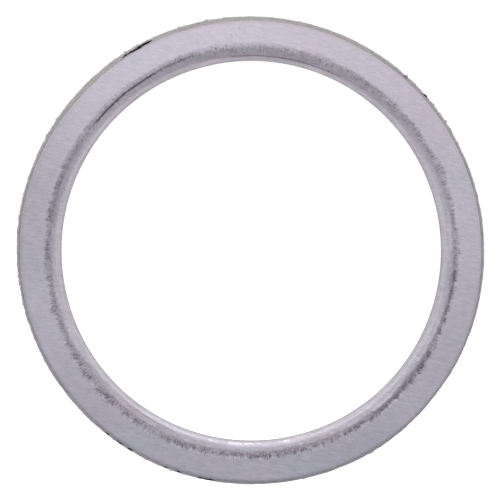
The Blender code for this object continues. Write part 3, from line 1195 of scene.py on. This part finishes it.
def make_camera(stage):
    """Almost straight above the front face, leaning a little towards the photograph's top."""
    data = bpy.data.cameras.new("camera")
    camera = bpy.data.objects.new("camera", data)
    bpy.context.scene.collection.objects.link(camera)
    tilt, swing = stage.camera_tilt, stage.camera_swing
    lean = math.sin(tilt)
    away = Vector((lean * math.cos(swing), lean * math.sin(swing), math.cos(tilt)))
    target = Vector((-stage.aim_right, -stage.aim_up, THICKNESS))
    right = Vector((0.0, 1.0, 0.0)).cross(away).normalized()
    up = away.cross(right)
    place = target + away * stage.camera_distance
    turn = Matrix((right, up, away)).transposed()
    camera.matrix_world = Matrix.Translation(place) @ turn.to_4x4()
    data.sensor_width = SENSOR_WIDTH_MM
    data.lens = data.sensor_width * stage.camera_distance / stage.view_width
    data.clip_start, data.clip_end = CAMERA_RANGE
    bpy.context.scene.camera = camera


# Settings


def a_length(name, description, default):
    return FloatProperty(name=name, description=description, default=default, unit="LENGTH")


def an_angle(name, description, degrees):
    default = math.radians(degrees)
    return FloatProperty(name=name, description=description, default=default, subtype="ANGLE")


def a_share(name, description, default):
    return FloatProperty(name=name, description=description, default=default, subtype="FACTOR")


def a_power(name, description, default):
    return FloatProperty(name=name, description=description, default=default, unit="POWER")


def a_colour(name, description, *default):
    return FloatVectorProperty(
        name=name, description=description, default=default, subtype="COLOR")


class GasketSizes(bpy.types.PropertyGroup):
    bore: a_length("Bore", "Diameter of the bore", 36.2 * MM)
    sheet: a_length("Sheet", "Thickness of the sheet metal", 0.25 * MM)
    bend_inside: a_length("Bend", "Inside radius of the bends at the bore", 1.3 * MM)
    lip_inside: a_length("Lip", "Inside radius of the rolled free edge", 0.12 * MM)
    lip_angle: an_angle("Lip turn", "How far the free edge is rolled over", 24.0)
    crinkle_depth: a_length("Crinkle depth", "Deepest dent of the crinkled band", 0.035 * MM)
    line_depth: a_length("Crease depth", "Depth of the sharp creases", 0.03 * MM)
    face_waviness: a_length("Face waviness", "How uneven the flat faces are", 0.008 * MM)
    edge_wander: a_length("Edge wander", "How far the free edge strays over a short distance",
                          0.03 * MM)
    core_slack: a_length("Core slack", "Room between the sheet and the core", 0.03 * MM)
    core_radius: a_length("Core radius", "Mean radius of the core's cut edge",
                          CORE_REACH - 0.08 * MM)
    fray_depth: a_length("Fray depth", "How ragged the cut fibre edge is", 0.13 * MM)
    groove_width: a_length("Ply groove width", "Width of the dip between two plies", 0.16 * MM)
    groove_depth: a_length("Ply groove depth", "Depth of the dip between two plies", 0.09 * MM)
    fibre_count: IntProperty(
        name="Loose fibres", description="Number of hairs along the cut edge", default=1500)
    seed: IntProperty(
        name="Seed", description="Changes all the unevenness at once", default=11)


class GasketFinish(bpy.types.PropertyGroup):
    metal_colour: a_colour("Metal", "Colour of the clean sheet", 0.700, 0.690, 0.784)
    metal_pink_colour: a_colour("Metal tint", "Colour of the sheet where it looks a little pinker",
                                0.735, 0.680, 0.770)
    band_colour: a_colour("Crinkled metal", "Colour of the sheet between the crinkles",
                          0.718, 0.680, 0.722)
    # The creases' colour is painted shade
    crease_shade_colour: a_colour("Creases", "Colour at the bottom of the sharp creases",
                            0.055, 0.045, 0.06)
    # The marks' colour also paints shade into the crinkled band
    mark_and_shade_colour: a_colour("Marks", "Colour of the crinkles and tool marks", 0.168, 0.148, 0.192)
    # Partly the cut edge's own colour, partly painted shade on the rolled lip
    edge_and_shade_colour: a_colour("Cut edge", "Colour of the sheet's cut edge", 0.51, 0.46, 0.49)
    edge_on_colour: a_colour("Edge on", "Tint of the metal where it is seen edge on",
                             0.45, 0.45, 0.41)
    # Painted glints: near-white specks on the bend near the bore
    glint_colour: a_colour("Rubbed specks", "Colour of the specks that handling has rubbed bright",
                           0.97, 0.95, 0.98)
    mark_and_shade_strength: a_share("Mark strength", "How dark the crinkled band is", 1.0)
    metal_roughness: a_share("Metal roughness", "Roughness of the clean sheet", 0.36)
    grain_depth: a_length("Grain depth", "Depth of the rolling lines", 0.004 * MM)
    rolling_turn: an_angle("Rolling direction", "Turn of the rolling lines from the X axis", 12.0)
    fibre_colour: a_colour("Fibre", "Main colour of the fibre", 0.455, 0.44, 0.487)
    fibre_warm_colour: a_colour("Fibre patches", "Colour of the warmer patches",
                                0.56, 0.545, 0.500)
    fibre_pale_colour: a_colour("Frayed fibre", "Colour of the frayed tips", 0.63, 0.61, 0.62)
    fibre_dark_colour: a_colour("Fibre gaps", "Colour between plies and in gaps",
                                0.03, 0.03, 0.03)


class GasketStage(bpy.types.PropertyGroup):
    camera_distance: a_length("Camera distance", "From the camera to the front face", 2.1)
    camera_tilt: an_angle("Camera tilt", "Lean of the view from straight down", 0.2)
    camera_swing: an_angle("Camera swing", "Direction in which the camera leans", 90.0)
    view_width: a_length("View width", "Width of the picture at the front face", 47.65 * MM)
    aim_right: a_length("Aim right", "How far right of the middle the ring stands", 0.115 * MM)
    aim_up: a_length("Aim up", "How far above the middle the ring stands", -0.07 * MM)
    floor_radius: a_length("Floor radius", "Reach of the floor", 3.0)
    floor_colour: a_colour("Floor", "Colour of the floor", 0.50, 0.50, 0.50)
    floor_glow: a_share("Floor white", "White that the floor shows of itself", 0.80)
    # Painted light: a brighter patch of floor on the near side
    near_painted_light: a_share("Near floor white", "More of it on the photograph's near side", 0.35)
    glow_colour: a_colour("Floor white's colour", "Colour of the white that the floor shows",
                          1.0, 1.0, 0.965)
    near_colour: a_colour("Near side", "Colour of the low surroundings on the near side",
                          0.64, 0.56, 0.53)
    far_colour: a_colour("Far side", "Colour of the low surroundings beyond the ring",
                         1.15, 1.12, 1.11)
    overhead_colour: a_colour("Overhead", "Colour of the surroundings overhead",
                              0.450, 0.467, 0.513)
    key_power: a_power("Key lamp", "Power of the softbox over the ring's far half", 0.153)
    key_colour: a_colour("Key lamp's colour", "Colour of the softbox's light", 1.065, 1.0, 0.95)
    window_power: a_power("Window lamp", "Power of the low, wide light behind the ring", 0.095)
    window_colour: a_colour("Window lamp's colour", "Colour of the low light", 1.0, 1.0, 1.0)


# Operators


def shared_fibre(finish):
    """The fibre's material, which the core and the loose fibres share."""
    return bpy.data.materials.get("pressed_fibre") or fibre_material(finish)


class GASKET_OT_jacket(bpy.types.Operator):
    """Build the folded sheet-metal jacket with its crinkled bends"""

    bl_idname = "gasket.jacket"
    bl_label = "Build Jacket"

    def execute(self, context):
        make_jacket(context.scene.gasket_sizes, metal_material(context.scene.gasket_finish))
        return {"FINISHED"}


class GASKET_OT_core(bpy.types.Operator):
    """Build the laminated fibre core with its ragged cut edge"""

    bl_idname = "gasket.core"
    bl_label = "Build Core"

    def execute(self, context):
        make_core(context.scene.gasket_sizes, shared_fibre(context.scene.gasket_finish))
        return {"FINISHED"}


class GASKET_OT_fibres(bpy.types.Operator):
    """Build the loose hairs along the core's cut edge"""

    bl_idname = "gasket.fibres"
    bl_label = "Build Loose Fibres"

    def execute(self, context):
        make_fibres(context.scene.gasket_sizes, shared_fibre(context.scene.gasket_finish))
        return {"FINISHED"}


class GASKET_OT_stage(bpy.types.Operator):
    """Build the floor, the surroundings, the lamps and the camera"""

    bl_idname = "gasket.stage"
    bl_label = "Build Stage"

    def execute(self, context):
        stage = context.scene.gasket_stage
        make_floor(stage)
        make_world(stage)
        for name, place, aim, size in LAMPS:
            light = (getattr(stage, name + "_power"), getattr(stage, name + "_colour"))
            make_lamp(name, place, aim, size, *light)
        make_camera(stage)
        context.scene.view_settings.view_transform = "Standard"
        return {"FINISHED"}


class GASKET_PT_sidebar(bpy.types.Panel):
    bl_idname = "GASKET_PT_sidebar"
    bl_label = "Ring Gasket"
    bl_space_type = "VIEW_3D"
    bl_region_type = "UI"
    bl_category = "Gasket"

    def draw(self, context):
        for operator in OPERATORS:
            self.layout.operator(operator.bl_idname)
        for settings in SETTINGS:
            box = self.layout.box()
            group = getattr(context.scene, settings)
            for name in group.__annotations__:
                box.prop(group, name)


SETTINGS = {
    "gasket_sizes": GasketSizes,
    "gasket_finish": GasketFinish,
    "gasket_stage": GasketStage,
}
OPERATORS = (GASKET_OT_jacket, GASKET_OT_core, GASKET_OT_fibres, GASKET_OT_stage)
CLASSES = (*SETTINGS.values(), *OPERATORS, GASKET_PT_sidebar)


def register():
    for cls in CLASSES:
        bpy.utils.register_class(cls)
    for name, group in SETTINGS.items():
        setattr(bpy.types.Scene, name, PointerProperty(type=group))


def unregister():
    for name in SETTINGS:
        delattr(bpy.types.Scene, name)
    for cls in reversed(CLASSES):
        bpy.utils.unregister_class(cls)


def corners(box):
    """A box as two plain lists of numbers."""
    return [list(map(float, corner)) for corner in box]


def main():
    register()
    bpy.ops.gasket.jacket()
    bpy.ops.gasket.core()
    bpy.ops.gasket.fibres()
    bpy.ops.gasket.stage()


if __name__ == "__main__":
    main()
